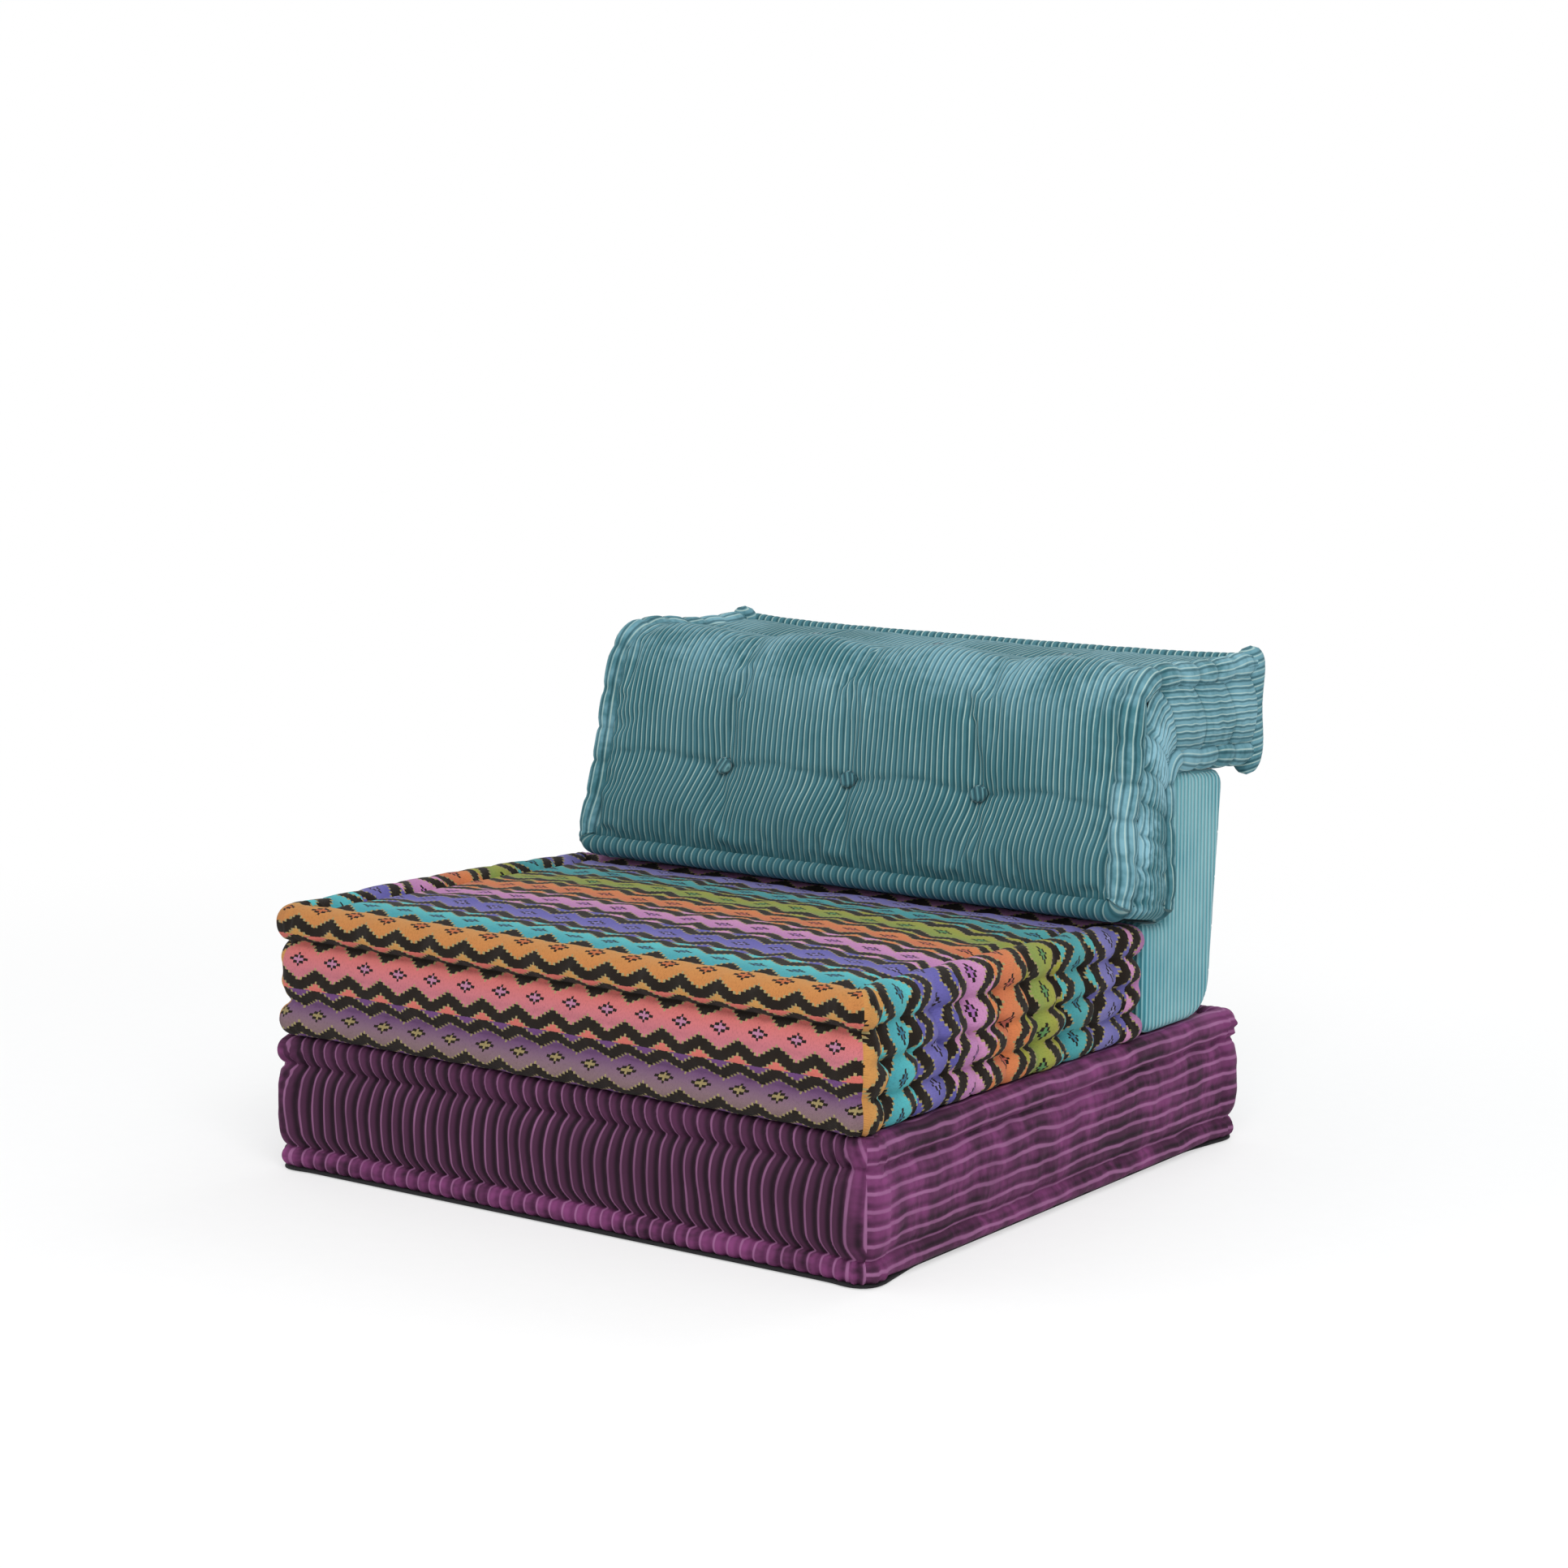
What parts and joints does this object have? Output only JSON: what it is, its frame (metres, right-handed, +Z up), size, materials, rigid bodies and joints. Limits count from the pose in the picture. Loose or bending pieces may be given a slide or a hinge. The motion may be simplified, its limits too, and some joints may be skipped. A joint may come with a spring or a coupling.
{
  "type": "modular sofa section",
  "caption": "Low armless sofa section: corduroy base, loose patterned seat mattress, and a buttoned corduroy mattress folded over an upright wedge block as the backrest.",
  "frame": {"origin": "middle of the base's footprint, on the floor, under the centre glide", "axes": "+X to the sitter's left across the section, +Y from the front to the back, +Z up"},
  "size_m": [0.95, 0.9794, 0.6638],
  "materials": {
    "base_corduroy": "matte",
    "seat_weave": "matte",
    "back_corduroy": "matte",
    "block_corduroy": "matte",
    "foam": "matte",
    "wadding": "matte",
    "timber": "matte",
    "deck_board": "matte",
    "screw": "satin",
    "glide": "matte",
    "dust_cover": "matte",
    "non_slip": "matte",
    "zip_tape": "matte",
    "zip_plastic": "satin",
    "zip_metal": "satin",
    "twine": "matte",
    "washer": "matte"
  },
  "bodies": {
    "base": {"base_glides": "glide", "base_dust_cover": "dust_cover", "base_front_rail": "timber", "base_rear_rail": "timber", "base_left_rail": "timber", "base_right_rail": "timber", "base_cross_rails": "timber", "base_corner_blocks": "timber", "base_frame_screws": "screw", "base_deck": "deck_board", "base_deck_screws": "screw", "base_foam": "foam", "base_wadding": "wadding", "base_top_roll_filler": "wadding", "base_low_roll_filler": "wadding", "base_cover": "base_corduroy"},
    "seat": {"seat_cover": "seat_weave", "seat_wadding": "wadding", "seat_foam": "foam", "seat_top_roll_filler": "wadding", "seat_low_roll_filler": "wadding"},
    "block": {"block_cover": "block_corduroy", "block_foam": "foam", "block_non_slip_sheet": "non_slip", "block_zip_tape": "zip_tape", "block_zip_chain": "zip_plastic", "block_zip_stops": "zip_plastic"},
    "back": {"back_cover": "back_corduroy", "back_wadding": "wadding", "back_foam": "foam", "back_front_buttons": "back_corduroy", "back_top_buttons": "back_corduroy", "back_tuft_twines": "twine", "back_tuft_washers": "washer", "back_front_roll_filler": "wadding", "back_rear_roll_filler": "wadding"},
    "zip_slider": {"block_zip_slider": "zip_metal"}
  },
  "joints": [
    {"name": "seat_slide", "type": "slide", "parent": "base", "child": "seat", "axis": [0, -1, 0], "range_m": [0, 0.66]},
    {"name": "block_lift", "type": "slide", "parent": "base", "child": "block", "axis": [0, 0, 1], "range_m": [0, 0.26]},
    {"name": "back_lift", "type": "slide", "parent": "block", "child": "back", "axis": [0, 0, 1], "range_m": [0, 0.26]},
    {"name": "zip_slide", "type": "slide", "parent": "block", "child": "zip_slider", "axis": [1, 0, 0], "range_m": [0, 0.7612]}
  ]
}
